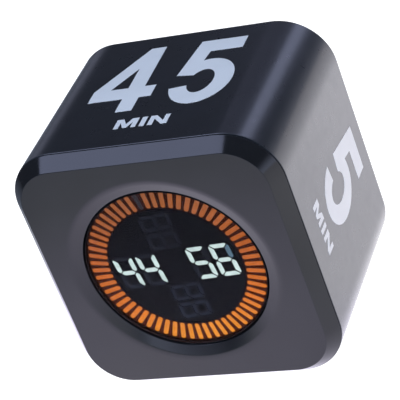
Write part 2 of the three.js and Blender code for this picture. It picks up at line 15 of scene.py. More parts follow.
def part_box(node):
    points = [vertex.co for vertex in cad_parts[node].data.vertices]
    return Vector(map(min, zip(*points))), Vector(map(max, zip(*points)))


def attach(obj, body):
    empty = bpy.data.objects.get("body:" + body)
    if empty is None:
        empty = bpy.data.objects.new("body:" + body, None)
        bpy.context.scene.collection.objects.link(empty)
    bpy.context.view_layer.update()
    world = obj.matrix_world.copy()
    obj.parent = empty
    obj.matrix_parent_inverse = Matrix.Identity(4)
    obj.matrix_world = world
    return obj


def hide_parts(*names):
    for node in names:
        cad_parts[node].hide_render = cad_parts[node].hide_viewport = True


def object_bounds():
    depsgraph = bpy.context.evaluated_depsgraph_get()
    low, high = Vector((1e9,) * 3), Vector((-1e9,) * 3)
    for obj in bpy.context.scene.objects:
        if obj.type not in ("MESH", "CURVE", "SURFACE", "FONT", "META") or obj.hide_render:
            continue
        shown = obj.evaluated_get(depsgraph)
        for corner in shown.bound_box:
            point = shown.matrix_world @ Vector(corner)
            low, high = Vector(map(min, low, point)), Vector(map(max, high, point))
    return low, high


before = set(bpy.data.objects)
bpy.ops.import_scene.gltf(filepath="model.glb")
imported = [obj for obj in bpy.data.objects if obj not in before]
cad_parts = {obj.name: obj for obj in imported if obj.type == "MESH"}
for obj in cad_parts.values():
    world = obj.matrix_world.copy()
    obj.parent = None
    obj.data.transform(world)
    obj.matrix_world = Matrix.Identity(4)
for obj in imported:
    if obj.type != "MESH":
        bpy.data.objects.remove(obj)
cad_low, cad_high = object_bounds()

MM = 0.001

# ---- Sizes that the frame gives ----

tube_low, tube_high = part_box("body_tube")
HALF = (tube_high.z - tube_low.z) / 2 / MM
MIDDLE_Z = (tube_high.z + tube_low.z) / 2 / MM
FRONT_Y = cad_low.y / MM
DEPTH = (cad_high.y - cad_low.y) / MM


def place(x, up, depth):
    """A point of the face frame, in the row frame and in metres."""
    return Vector((x, FRONT_Y + depth, MIDDLE_Z + up)) * MM


def face_box(node):
    """Lowest and highest x, up and depth of a CAD node, in millimetres."""
    low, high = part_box(node)
    return [Vector((p.x / MM, p.z / MM - MIDDLE_Z, p.y / MM - FRONT_Y)) for p in (low, high)]


def middle(node):
    low, high = face_box(node)
    return (low + high) / 2


# ---- Sizes of the shells, as on the CAD solids, in millimetres ----

INK = 0.03  # the printed marks stand this far proud of the shells
GAP = 0.3  # between pieces that would touch
CORNER_R = 11.5
WALL = 2.2
RIM_DEPTH = 3
CHAMFER_INSET = 2.55
PLATE_DEPTH = 2.4
SKIRT_INSET = 2.5
SKIRT_WALL = 1.4
SKIRT_END = 9
RECESS_R = 22.6
WINDOW_R = 19.95
WINDOW_DEPTH = 1.04
LIP_END = 1.6
POCKET_R = 22
DISPLAY_POST_XY = 18.4
BOARD_POST = (20.5, 14)
COVER_INSET = 2.55
BOSS_R = 3.2
BOSS_START = 31
SCREW_HOLE_R = 1.5
POST_R = 2.2
POST_HOLE_R = 1.1
SINK_DEPTH = 1.5
SINK_R = 3
HOOK_START, HOOK_END = 7.1, 8.3
POCKET_START, POCKET_END = 6.7, 8.7

DISPLAY_TURN = math.radians(3)
BAR_COUNT = 60
UNLIT_BAR = 1
BAR_INNER_R = 15
BAR_OUTER_R = 19.2
BAR_WIDTH = 1.06
DIGIT_WIDTH = 4.6
DIGIT_HEIGHT = 8.2
DIGIT_SLANT = -0.05
STROKE = 1.1
SEGMENT_GAP = 0.14
DIGIT_CUT = 0.7  # cut off the digits' outer corners
DIGITS_MIDDLE = Vector((-0.17, 0.13))  # from the middle of the ring of bars
ACROSS_DIGITS_X = (-11, -5.65, 6, 11.3)
ALONG_DIGITS_Y = (-11.3, -6.6, 6.6, 11.3)
ALONG_SCALE = 0.88
SHOWN_TIME = "4458"
SEGMENTS_OF = {"4": "bcfg", "5": "acdfg", "8": "abcdefg"}
DIM_SEGMENT = (3, "b")  # the last digit's upper right segment is fading

NUMBER_GAP = 3.6
NUMBER_BASE = 16.2  # the number's baseline, above the middle of its side
LETTER_GAP = 0.75
LETTER_BASE = 9.6

BUTTON_R = 4.4
BUTTON_FLANGE = 0.9
BUTTON_DISH = 0.28  # depth of the hollow in a button
SLIDER_SLOT = (4.6, 1.9)
USB_HALF = (4.5, 1.65)
SOUND_RING_R = 2.8
SOUND_HOLE_R = 0.8
COVER_THICK = 2.4
SCREW_HEAD = 1

# ---- Building meshes ----

CORNER_STEPS = 20
FLAT_STEPS = 32
HOLE_STEPS = 24


def square_points(reach):
    """The case's rounded square outline, brought in until its flats are at reach."""
    flat = HALF - CORNER_R
    radius = reach - flat
    points = []
    for quarter in range(4):
        turn = Matrix.Rotation(quarter * math.pi / 2, 2)
        for i in range(CORNER_STEPS):
            angle = i / CORNER_STEPS * math.pi / 2
            corner = Vector((flat + radius * math.cos(angle), flat + radius * math.sin(angle)))
            points.append(turn @ corner)
        for i in range(FLAT_STEPS):
            points.append(turn @ Vector((flat - 2 * flat * i / FLAT_STEPS, reach)))
    return points


RING_ANGLES = [math.atan2(p.y, p.x) for p in square_points(HALF)]


def even_angles(count):
    return [2 * math.pi * i / count for i in range(count)]


def circle_points(radius, angles=RING_ANGLES, x=0, up=0):
    return [Vector((x + radius * math.cos(a), up + radius * math.sin(a))) for a in angles]


def rounded_box(half_x, half_up, radius, x=0, up=0, steps=6):
    """A rounded rectangle's outline, counter-clockwise."""
    points = []
    for quarter, (sx, sy) in enumerate([(1, 1), (-1, 1), (-1, -1), (1, -1)]):
        for i in range(steps + 1):
            angle = (quarter + i / steps) * math.pi / 2
            points.append(Vector((
                x + sx * (half_x - radius) + radius * math.cos(angle),
                up + sy * (half_up - radius) + radius * math.sin(angle),
            )))
    return points


def at_depth(points, depth):
    return [place(p.x, p.y, depth) for p in points]


def softened(profile):
    """Corners of a closed profile of (kind, reach, depth, radius), each rounded by its radius."""
    result = []
    for i, (kind, reach, depth, radius) in enumerate(profile):
        corner = Vector((reach, depth))
        if radius == 0:
            result.append((kind, corner))
            continue
        back = (Vector(profile[i - 1][1:3]) - corner).normalized()
        ahead = (Vector(profile[(i + 1) % len(profile)][1:3]) - corner).normalized()
        tangent = radius / math.tan(back.angle(ahead) / 2)
        steps = 3 if radius < 1 else 10
        for s in range(steps + 1):
            t = s / steps
            result.append((kind, corner + tangent * ((1 - t) ** 2 * back + t ** 2 * ahead)))
    return result


def add_loft(bm, loops, closed=False):
    """Faces between loops of equal length. An open loft gets a cap on both ends."""
    rows = [[bm.verts.new(p) for p in loop] for loop in loops]
    count = len(rows[0])
    pairs = list(zip(rows, rows[1:]))
    if closed:
        pairs.append((rows[-1], rows[0]))
    for here, there in pairs:
        for i in range(count):
            j = (i + 1) % count
            bm.faces.new((here[i], here[j], there[j], there[i]))
    if not closed:
        bm.faces.new(rows[0])
        bm.faces.new(rows[-1])


def add_prism(bm, outline, front, rear):
    add_loft(bm, [at_depth(outline, front), at_depth(outline, rear)])


def add_ring(bm, profile):
    """A ring round the display's axis from a closed profile of squares ("s") and rounds ("r")."""
    loops = []
    for kind, corner in softened(profile):
        outline = square_points(corner.x) if kind == "s" else circle_points(corner.x)
        loops.append(at_depth(outline, corner.y))
    add_loft(bm, loops, closed=True)


def add_turned(bm, profile, x=0, up=0, count=48):
    """A turned solid on an axis through (x, up); the profile runs from axis to axis."""
    corners = [("r", 0, profile[0][1], 0)]
    corners += [("r", *row) for row in profile]
    corners += [("r", 0, profile[-1][1], 0)]
    angles = even_angles(count)
    loops = []
    for _, corner in softened(corners)[1:-1]:
        loops.append(at_depth(circle_points(corner.x, angles, x, up), corner.y))
    add_loft(bm, loops)


def add_hole(bm, radius, front, rear, x, up):
    """A cutter for a plain round hole."""
    add_turned(bm, [(radius, front, 0), (radius, rear, 0)], x, up, HOLE_STEPS)


def new_piece(name, bm):
    """An object of the mesh being built, with its faces pointing out."""
    bmesh.ops.recalc_face_normals(bm, faces=bm.faces)
    mesh = bpy.data.meshes.new(name)
    bm.to_mesh(mesh)
    bm.free()
    piece = bpy.data.objects.new(name, mesh)
    bpy.context.scene.collection.objects.link(piece)
    return piece


def build(name, *steps):
    """A piece from functions that each add solids to the same mesh."""
    bm = bmesh.new()
    for step in steps:
        step(bm)
    return new_piece(name, bm)


def combine(piece, tool, operation):
    """Joins or cuts a piece by a tool, which is used up."""
    modifier = piece.modifiers.new(operation, "BOOLEAN")
    modifier.operation = operation
    modifier.solver = "EXACT"
    modifier.object = tool
    bpy.context.view_layer.update()
    evaluated = piece.evaluated_get(bpy.context.evaluated_depsgraph_get())
    mesh = bpy.data.meshes.new_from_object(evaluated)
    piece.modifiers.clear()
    piece.data = mesh
    bpy.data.objects.remove(tool)
    return piece


def cut(piece, *steps):
    return combine(piece, build("cutter", *steps), "DIFFERENCE")


def join(piece, *steps):
    return combine(piece, build("addition", *steps), "UNION")


def smooth(piece, angle=32):
    """Smooth shading with creases, and flat faces that stay flat next to rounded edges."""
    piece.data.shade_smooth()
    piece.data.set_sharp_from_angle(angle=math.radians(angle))
    weighted = piece.modifiers.new("flat_faces", "WEIGHTED_NORMAL")
    weighted.keep_sharp = True
    weighted.weight = 90


def settle(piece, material, body, slot, *nodes):
    """Gives a finished piece its material, its body and what it stands for; its record slot is not
    used.
    """
    piece.data.materials.clear()
    piece.data.materials.append(material)
    smooth(piece)
    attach(piece, body)
    if nodes:
        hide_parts(*nodes)
    return piece


# ---- Material nodes ----


def feed(tree, node, inputs):
    """Sets a node's inputs, or links them where a socket is given."""
    for key, value in inputs.items():
        if isinstance(value, bpy.types.NodeSocket):
            tree.links.new(value, node.inputs[key])
        else:
            node.inputs[key].default_value = value


def add_node(tree, kind, inputs=None, **settings):
    """A shader node with its settings, and its inputs set or linked."""
    made = tree.nodes.new("ShaderNode" + kind)
    for key, value in settings.items():
        setattr(made, key, value)
    feed(tree, made, inputs or {})
    return made


def new_material(name):
    material = bpy.data.materials.new(name)
    material.use_nodes = True
    tree = material.node_tree
    shader = tree.nodes["Principled BSDF"]
    return material, tree, shader


def millimetres(tree):
    """Object coordinates in millimetres."""
    source = add_node(tree, "TexCoord")
    scaled = add_node(tree, "VectorMath", {0: source.outputs["Object"], "Scale": 1 / MM},
                      operation="SCALE")
    return scaled.outputs[0]


def ranged(tree, value, start, end, first=0, last=1, **settings):
    """A value's place between start and end, as a number between first and last."""
    spread = add_node(tree, "MapRange", {
        "Value": value, "From Min": start, "From Max": end, "To Min": first, "To Max": last,
    }, **settings)
    return spread.outputs[0]


def noise(tree, point, per_mm, low, high, detail=2):
    """Noise of so many features per millimetre, spread between two values."""
    texture = add_node(tree, "TexNoise", {"Vector": point, "Scale": per_mm, "Detail": detail})
    return ranged(tree, texture.outputs["Fac"], 0.3, 0.7, low, high)


def bumps(tree, height, millimetres_high):
    bump = add_node(tree, "Bump", {"Height": height, "Distance": millimetres_high * MM})
    return bump.outputs[0]


def edges(tree, width):
    """1 on convex and concave edges of about this width in millimetres, 0 on flats."""
    rounded = add_node(tree, "Bevel", {"Radius": width * MM}, samples=4)
    plain = add_node(tree, "NewGeometry")
    match = add_node(tree, "VectorMath", {0: rounded.outputs[0], 1: plain.outputs["Normal"]},
                     operation="DOT_PRODUCT")
    return ranged(tree, match.outputs["Value"], 0.995, 0.9)


def mixed(tree, factor, first, second):
    """A colour between two colours, or between a colour socket and a colour."""
    mix = add_node(tree, "Mix", data_type="RGBA")  # its colour inputs are 6 and 7
    feed(tree, mix, {0: factor, 6: first, 7: second})
    return mix.outputs[2]


def rgb(red, green, blue):
    return (red, green, blue, 1)


def scaled_colour(colour, factor):
    return rgb(*(min(1, channel * factor) for channel in colour[:3]))


def surface(name, colour, roughness, *, vary=0.12, grain=2.5, relief=0.004, wear=0, worn=None,
            **constants):
    """A moulded, stamped or cast surface.

    The colour and roughness drift over a few millimetres, a fine grain of so many features
    per millimetre and relief millimetres high bends the light, and edges may look worn.
    """
    material, tree, shader = new_material(name)
    point = millimetres(tree)
    drift = noise(tree, point, 0.13, 0, 1)
    tone = mixed(tree, drift, scaled_colour(colour, 1 - vary), scaled_colour(colour, 1 + vary))
    sheen = noise(tree, point, 0.35, roughness * 0.88, roughness * 1.12, 4)
    if wear:
        mask = edges(tree, wear)
        tone = mixed(tree, mask, tone, worn or scaled_colour(colour, 1.6))
        rougher = add_node(tree, "Math", {0: mask, 1: 0.12, 2: sheen}, operation="MULTIPLY_ADD")
        sheen = rougher.outputs[0]
    feed(tree, shader, {
        "Base Color": tone, "Roughness": sheen,
        "Normal": bumps(tree, noise(tree, point, grain, 0, 1, 3), relief),
    })
    feed(tree, shader, {key.replace("_", " "): value for key, value in constants.items()})
    return material


def ramp(tree, factor, stops):
    """A colour that runs through stops of (position, colour)."""
    made = add_node(tree, "ValToRGB", {0: factor})
    elements = made.color_ramp.elements
    while len(elements) < len(stops):
        elements.new(0.5)
    for element, (position, colour) in zip(elements, stops):
        element.position = position
        element.color = colour
    return made.outputs[0]


def glow(name, stops, strength, *, base=0.02):
    """A diffuser that gives off light, its colour running through stops from the ring's bottom to its
    top. For the unlit bars and segments this light is a painted glow.
    """
    material, tree, shader = new_material(name)
    point = millimetres(tree)
    split = add_node(tree, "SeparateXYZ", {0: point})
    along = ranged(tree, split.outputs["Z"], MIDDLE_Z - BAR_OUTER_R, MIDDLE_Z + BAR_OUTER_R)
    tint = mixed(tree, noise(tree, point, 0.9, 0, 1), rgb(base, base, base),
                 rgb(base * 1.6, base * 1.5, base * 1.4))
    feed(tree, shader, {
        "Emission Color": ramp(tree, along, stops),
        "Emission Strength": noise(tree, point, 1.6, 0.86 * strength, 1.14 * strength, 4),
        "Base Color": tint,
        "Roughness": noise(tree, point, 1.1, 0.4, 0.6),
        "Specular IOR Level": 0.05,
        "Normal": bumps(tree, noise(tree, point, 3, 0, 1), 0.004),
    })
    return material


# ---- Materials ----


def satin_black():
    """The case: fine satin plastic under a clear satin lacquer."""
    return surface("satin_black_plastic", (0.010, 0.011, 0.014), 0.3, grain=2.2, relief=0.0012,
                   wear=0.25, worn=rgb(0.03, 0.031, 0.036), Coat_Weight=0.9, Coat_Roughness=0.2,
                   IOR=1.5)


def gloss_black():
    """The bezel and the controls: polished plastic."""
    return surface("gloss_black_plastic", (0.007, 0.007, 0.008), 0.13, grain=0.5, relief=0.0012,
                   wear=0.2, worn=rgb(0.03, 0.03, 0.034), IOR=1.5)


def smoked_window():
    """The lens: smoked acrylic with a faint haze."""
    material, tree, shader = new_material("smoked_acrylic")
    point = millimetres(tree)
    tint = mixed(tree, noise(tree, point, 0.1, 0, 1), rgb(0.60, 0.61, 0.64), rgb(0.66, 0.67, 0.70))
    feed(tree, shader, {
        "Transmission Weight": 1, "IOR": 1.25, "Specular Tint": rgb(0.02, 0.022, 0.03),
        "Base Color": tint, "Roughness": noise(tree, point, 0.4, 0.0, 0.02),
    })
    return material


BLEED_STOPS = [(0, rgb(0.32, 0.035, 0.001)), (1, rgb(0.10, 0.018, 0.003))]


def display_black():
    """The printed display mask, with the bars' light bleeding into their ring."""
    material, tree, shader = new_material("display_mask")
    point = millimetres(tree)
    split = add_node(tree, "SeparateXYZ", {0: point})
    height = add_node(tree, "Math", {0: split.outputs["Z"], 1: MIDDLE_Z}, operation="SUBTRACT")
    flat = add_node(tree, "CombineXYZ", {"X": split.outputs["X"], "Y": height.outputs[0]})
    radius = add_node(tree, "VectorMath", {0: flat.outputs[0]}, operation="LENGTH")
    ring_middle = (BAR_INNER_R + BAR_OUTER_R) / 2
    off = add_node(tree, "Math", {0: radius.outputs["Value"], 1: ring_middle}, operation="SUBTRACT")
    away = add_node(tree, "Math", {0: off.outputs[0]}, operation="ABSOLUTE")
    upward = ranged(tree, height.outputs[0], -BAR_OUTER_R, BAR_OUTER_R)
    tint = mixed(tree, noise(tree, point, 0.5, 0, 1),
                 rgb(0.002, 0.003, 0.004), rgb(0.004, 0.005, 0.006))
    feed(tree, shader, {
        "Emission Strength": ranged(tree, away.outputs[0], 1.7, 2.4, 0.35, 0),
        "Emission Color": ramp(tree, upward, BLEED_STOPS),
        "Base Color": tint,
        "Roughness": noise(tree, point, 0.7, 0.5, 0.65),
        "Specular IOR Level": 0.03,
        "Normal": bumps(tree, noise(tree, point, 4, 0, 1), 0.003),
    })
    return material


def circuit_board():
    """Green solder mask over copper tracks."""
    material, tree, shader = new_material("circuit_board")
    point = millimetres(tree)
    cells = add_node(tree, "TexVoronoi", {"Vector": point, "Scale": 0.45}, distance="CHEBYCHEV",
                     feature="DISTANCE_TO_EDGE")
    track = ranged(tree, cells.outputs["Distance"], 0.05, 0.08, 1, 0)
    mask = mixed(tree, noise(tree, point, 0.2, 0, 1),
                 rgb(0.010, 0.085, 0.035), rgb(0.016, 0.11, 0.05))
    feed(tree, shader, {
        "Base Color": mixed(tree, track, mask, rgb(0.05, 0.22, 0.09)),
        "Roughness": noise(tree, point, 0.6, 0.28, 0.42),
        "Normal": bumps(tree, track, 0.02),
    })
    return material


SATIN = satin_black()
GLOSS = gloss_black()
SMOKED = smoked_window()
MASK = display_black()
BOARD = circuit_board()
INK_WHITE = surface("white_ink", (0.82, 0.80, 0.78), 0.42, vary=0.03, grain=6, relief=0.002)
STEEL = surface("bright_steel", (0.55, 0.56, 0.58), 0.28, vary=0.06, grain=1.5, relief=0.003,
                       wear=0.15, worn=rgb(0.75, 0.75, 0.76), Metallic=1)
CHIP = surface("chip_resin", (0.016, 0.016, 0.018), 0.55, grain=5, relief=0.01)
GREY = surface("grey_moulding", (0.16, 0.165, 0.18), 0.55, grain=3, relief=0.008)
FOIL = surface("cell_foil", (0.58, 0.60, 0.63), 0.32, vary=0.05, grain=0.8, relief=0.05,
                      Metallic=0.85)
CREAM = surface("cream_plastic", (0.78, 0.74, 0.62), 0.5, vary=0.05, grain=3, relief=0.006)
RED = surface("red_insulation", (0.45, 0.02, 0.012), 0.45, grain=4, relief=0.006)
BLACK_WIRE = surface("black_insulation", (0.012, 0.012, 0.012), 0.45, grain=4, relief=0.006)
TONGUE = surface("socket_tongue", (0.02, 0.02, 0.022), 0.4, grain=3, relief=0.005)
GOLD = surface("contact_gold", (0.83, 0.60, 0.25), 0.25, vary=0.05, grain=2, relief=0.002,
                      Metallic=1)

# The lit bars' colour: brighter and yellower at the ring's bottom, dimmer and redder at its top. This
# top-to-bottom change is a painted fall-off of their light.
AMBER_STOPS = [
    (0.0, rgb(1.0, 0.355, 0.015)),
    (0.25, rgb(0.80, 0.205, 0.010)),
    (0.6, rgb(0.53, 0.125, 0.010)),
    (1.0, rgb(0.35, 0.110, 0.030)),
]
AMBER = glow("amber_light", AMBER_STOPS, 1.32)
WHITE_LIGHT = glow("white_light", [(0, rgb(0.75, 0.92, 0.87)), (1, rgb(0.77, 0.92, 0.86))], 1.28)
FADING = glow("fading_light", [(0, rgb(0.10, 0.18, 0.245)), (1, rgb(0.10, 0.18, 0.24))], 1.3)
# The unlit segments are not lit: their faint light, bluer and brighter towards the bottom, is a
# painted glow.
UNLIT_PAINTED_GLOW_STOPS = [
    (0, rgb(0.022, 0.028, 0.048)),
    (0.35, rgb(0.018, 0.023, 0.040)),
    (0.5, rgb(0.009, 0.011, 0.018)),
    (1, rgb(0.012, 0.014, 0.022)),
]
UNLIT_PAINTED_GLOW = glow("unlit_painted_glow", UNLIT_PAINTED_GLOW_STOPS, 1, base=0.006)
# The unlit bar's faint light is a painted glow too.
UNLIT_AMBER_PAINTED_GLOW = glow("unlit_amber_painted_glow", [(0, rgb(0.03, 0.021, 0.024)), (1, rgb(0.03, 0.021, 0.026))], 1)

# ---- Case ----

OUTSIDE = HALF - INK
REAR = DEPTH - INK


def quarter_turned(points, quarter):
    turn = Matrix.Rotation(quarter * math.pi / 2, 2)
    return [turn @ p for p in points]


def corner_places(x, up=None):
    up = x if up is None else up
    return [(x, up), (-x, up), (-x, -up), (x, -up)]


def body_tube():
    front = face_box("body_tube")[0].z
    inside = HALF - WALL
    shell = build("case_tube", lambda bm: add_ring(bm, [
        ("s", OUTSIDE, front, 0.22), ("s", OUTSIDE, REAR, 0.45),
        ("s", inside, REAR, 0.15), ("s", inside, front, 0.12),
    ]))
    boss_x = middle("rear_screw_1").x
    boss_end = face_box("rear_cover")[0].z - GAP
    cell_middle = middle("battery_cell").y
    block_rear = face_box("battery_holder")[0].z - GAP

    def bosses(bm):
        for x, up in corner_places(abs(boss_x)):
            add_turned(bm, [(BOSS_R, BOSS_START, 0.2), (BOSS_R, boss_end, 0.15)], x, up)

    def webs(bm):
        reach = math.sqrt(2) * (HALF - CORNER_R) + CORNER_R - WALL / 2
        start = math.sqrt(2) * abs(boss_x) + 1
        web = rounded_box((reach - start) / 2, 0.8, 0.1, (reach + start) / 2, 0, 2)
        for i in range(4):
            turn = Matrix.Rotation((i + 0.5) * math.pi / 2, 2)
            outline = [turn @ p for p in web]
            add_prism(bm, outline, BOSS_START + 0.2, boss_end - 0.4)

    def blocks(bm):
        for side in (-1, 1):
            outline = rounded_box(2.8, 3.5, 0.4, side * (inside - 2), cell_middle)
            add_prism(bm, outline, 12, block_rear)

    def holes(bm):
        for x, up in corner_places(abs(boss_x)):
            add_hole(bm, SCREW_HOLE_R, BOSS_START + 2, boss_end + 1, x, up)
        for side in (-1, 1):
            x = side * abs(middle("holder_screw_1").x)
            add_hole(bm, POST_HOLE_R, 14, block_rear + 1, x, cell_middle)

    def pockets(bm):
        for i in range(4):
            outline = quarter_turned(rounded_box(0.9, 4, 0.1, inside, 0, 2), i)
            add_prism(bm, outline, POCKET_START, POCKET_END)

    for addition in (bosses, webs, blocks):
        join(shell, addition)
    cut(shell, holes, pockets)
    return settle(shell, SATIN, "case", "satin_black", "body_tube")


def front_bezel():
    skirt = HALF - SKIRT_INSET
    bezel = build("front_bezel_fine", lambda bm: add_ring(bm, [
        ("r", RECESS_R, 0, 4), ("s", HALF - CHAMFER_INSET, 0, 0.2),
        ("s", HALF, RIM_DEPTH, 0.12), ("s", skirt, RIM_DEPTH, 0),
        ("s", skirt, SKIRT_END, 0.2), ("s", skirt - SKIRT_WALL, SKIRT_END, 0.2),
        ("s", skirt - SKIRT_WALL, PLATE_DEPTH, 0), ("r", POCKET_R, PLATE_DEPTH, 0),
        ("r", POCKET_R, LIP_END, 0), ("r", WINDOW_R, LIP_END, 0), ("r", WINDOW_R, WINDOW_DEPTH, 0.22),
    ]))
    board_front = face_box("display_board")[0].z + GAP

    def posts(bm):
        for x, up in corner_places(DISPLAY_POST_XY):
            add_turned(bm, [(POST_R, PLATE_DEPTH - 0.2, 0), (POST_R, board_front, 0.15)], x, up)

    def hooks(bm):
        for i in range(4):
            outline = quarter_turned(rounded_box(0.6, 3.7, 0.15, skirt, 0, 2), i)
            add_prism(bm, outline, HOOK_START, HOOK_END)

    def holes(bm):
        for x, up in corner_places(DISPLAY_POST_XY):
            add_hole(bm, POST_HOLE_R, 3.2, board_front + 1, x, up)

    join(bezel, posts, hooks)
    cut(bezel, holes)
    return settle(bezel, GLOSS, "case", "gloss_black", "front_bezel")


def display_lens():
    """The window, and the black band round its side that keeps the bars' light in."""
    low, high = face_box("display_lens")
    flange = high.x
    clear = WINDOW_R - 0.45
    edge = WINDOW_R - GAP
    step = LIP_END + GAP
    lens = build("display_window", lambda bm: add_turned(bm, [
        (clear, low.z, 0.1), (clear, step, 0), (flange, step, 0.05), (flange, high.z, 0.05),
    ], count=160))
    settle(lens, SMOKED, "case", "smoked_window", "display_lens")
    rim = build("window_rim", lambda bm: add_ring(bm, [
        ("r", clear - 0.05, low.z + 0.04, 0), ("r", edge, low.z + 0.04, 0.05),
        ("r", edge, step - 0.01, 0), ("r", clear - 0.05, step - 0.01, 0),
    ]))
    settle(rim, MASK, "case", "display_black", "display_lens")


# ---- Display ----


def bar_outline(index, shrink=0):
    """One bar window: a rounded strip on the ring, as wide inside as outside."""
    half = BAR_WIDTH / 2 - shrink
    reach = (BAR_OUTER_R - BAR_INNER_R) / 2 - shrink
    strip = rounded_box(half, reach, 0.95 * half, 0, (BAR_INNER_R + BAR_OUTER_R) / 2, 4)
    turn = Matrix.Rotation(2 * math.pi * index / BAR_COUNT + DISPLAY_TURN, 2)
    return [turn @ p for p in strip]


def segment_outline(name, shrink=0):
    """A digit's segment, mitred to its neighbours, in the digit's own coordinates."""
    side, top, half = DIGIT_WIDTH / 2, DIGIT_HEIGHT / 2, STROKE / 2
    reach = side - half - SEGMENT_GAP
    tip, cut_in = (DIGIT_CUT + SEGMENT_GAP) / 2, (DIGIT_CUT - SEGMENT_GAP) / 2
    if name == "g":
        flat = [(reach, 0), (reach - half, half), (half - reach, half),
                (-reach, 0), (half - reach, -half), (reach - half, -half)]
    elif name in "ad":
        flat = [(side - DIGIT_CUT, top), (DIGIT_CUT - side, top),
                (tip - side, top - cut_in), (half - reach, top - STROKE),
                (reach - half, top - STROKE), (side - tip, top - cut_in)]
    else:
        flat = [(side, half + SEGMENT_GAP), (side, top - DIGIT_CUT), (side - cut_in, top - tip),
                (side - STROKE, top - STROKE - SEGMENT_GAP), (side - STROKE, half + SEGMENT_GAP),
                (side - half, SEGMENT_GAP)]
    sx = -1 if name in "ef" else 1
    sy = -1 if name in "cde" else 1
    points = [Vector((sx * x + DIGIT_SLANT * sy * y, sy * y)) for x, y in flat]
    if sx * sy < 0:
        points.reverse()
    return trimmed(inset(points, shrink), 0.05)


def inset(points, amount):
    """A convex counter-clockwise polygon with each edge moved in by this much."""
    result = []
    for i, p in enumerate(points):
        before = (p - points[i - 1]).normalized()
        after = (points[(i + 1) % len(points)] - p).normalized()
        inward = Vector((-before.y - after.y, before.x + after.x))
        result.append(p + inward * amount / (1 + before.dot(after)))
    return result


def trimmed(points, size):
    """A polygon with each corner cut off at this distance from its tip, which softens it."""
    result = []
    for i, p in enumerate(points):
        for neighbour in (points[i - 1], points[(i + 1) % len(points)]):
            result.append(p + (neighbour - p).normalized() * size)
    return result


def digit_places():
    """Each digit's middle, turn and scale: four read upright and four with the case on its side."""
    across = [(Vector((x, 0)), 0, 1) for x in ACROSS_DIGITS_X]
    along = [(Vector((0, up)), math.pi / 2, ALONG_SCALE) for up in ALONG_DIGITS_Y]
    return across + along


def placed_segment(place_of_digit, name, shrink=0):
    spot, angle, scale = place_of_digit
    turn = Matrix.Rotation(angle, 2) * scale
    tilt = Matrix.Rotation(DISPLAY_TURN, 2)
    return [tilt @ (turn @ p + spot + DIGITS_MIDDLE) for p in segment_outline(name, shrink)]


def segment_state(digit, name):
    if digit >= len(SHOWN_TIME):
        return "unlit"
    if (digit, name) == DIM_SEGMENT:
        return "fading"
    return "lit" if name in SEGMENTS_OF[SHOWN_TIME[digit]] else "unlit"


def segments_in(state, shrink):
    outlines = []
    for digit, spot in enumerate(digit_places()):
        for name in "abcdefg":
            if segment_state(digit, name) == state:
                outlines.append((spot, name))
    return [placed_segment(spot, name, shrink) for spot, name in outlines]


def display_face():
    """The black mask, with a window for each bar and segment."""
    low, high = face_box("display_face")
    plate_rear = low.z + 0.8
    radius = high.x
    face = build("display_mask", lambda bm: add_turned(bm, [
        (radius, low.z, 0.1), (radius, high.z, 0.1),
        (radius - 1.1, high.z, 0.1), (radius - 1.1, plate_rear, 0),
    ], count=120))

    def windows(bm):
        outlines = [bar_outline(i) for i in range(BAR_COUNT)]
        for state in ("lit", "fading", "unlit"):
            outlines += segments_in(state, 0)
        for outline in outlines:
            add_prism(bm, outline, low.z - 0.5, plate_rear + 0.5)

    cut(face, windows)
    return settle(face, MASK, "case", "display_black", "display_face")


def light_guides(name, outline_pairs, material, slot):
    """Small blocks that fill the mask's windows, each with a softened front."""
    front = face_box("display_face")[0].z + 0.04
    rear = face_box("bar_diffuser")[0].z - 0.05

    def blocks(bm):
        for full, inner in outline_pairs:
            add_loft(bm, [at_depth(full, rear), at_depth(full, front + 0.1), at_depth(inner, front)])

    return settle(build(name, blocks), material, "case", slot)


def segment_guides(name, state, material):
    pairs = list(zip(segments_in(state, 0.02), segments_in(state, 0.05)))
    return light_guides(name, pairs, material, "white_glow")


def bar_guides(name, indices, material):
    pairs = [(bar_outline(i, 0.02), bar_outline(i, 0.05)) for i in indices]
    return light_guides(name, pairs, material, "amber_glow")


# ---- Printed marks ----


def arc(x, up, radius_x, radius_up, start, end, steps=28):
    """Points on an ellipse between two angles in degrees."""
    angles = [math.radians(start + (end - start) * i / steps) for i in range(steps + 1)]
    return [(x + radius_x * math.cos(a), up + radius_up * math.sin(a)) for a in angles]


def stroke(path, width):
    """The outline of a line of constant width along a path."""
    left, right = [], []
    for i, point in enumerate(path):
        ahead = Vector(path[min(i + 1, len(path) - 1)]) - Vector(path[max(i - 1, 0)])
        side = Vector((-ahead.y, ahead.x)).normalized() * width / 2
        left.append(tuple(Vector(point) + side))
        right.append(tuple(Vector(point) - side))
    return left + right[::-1]


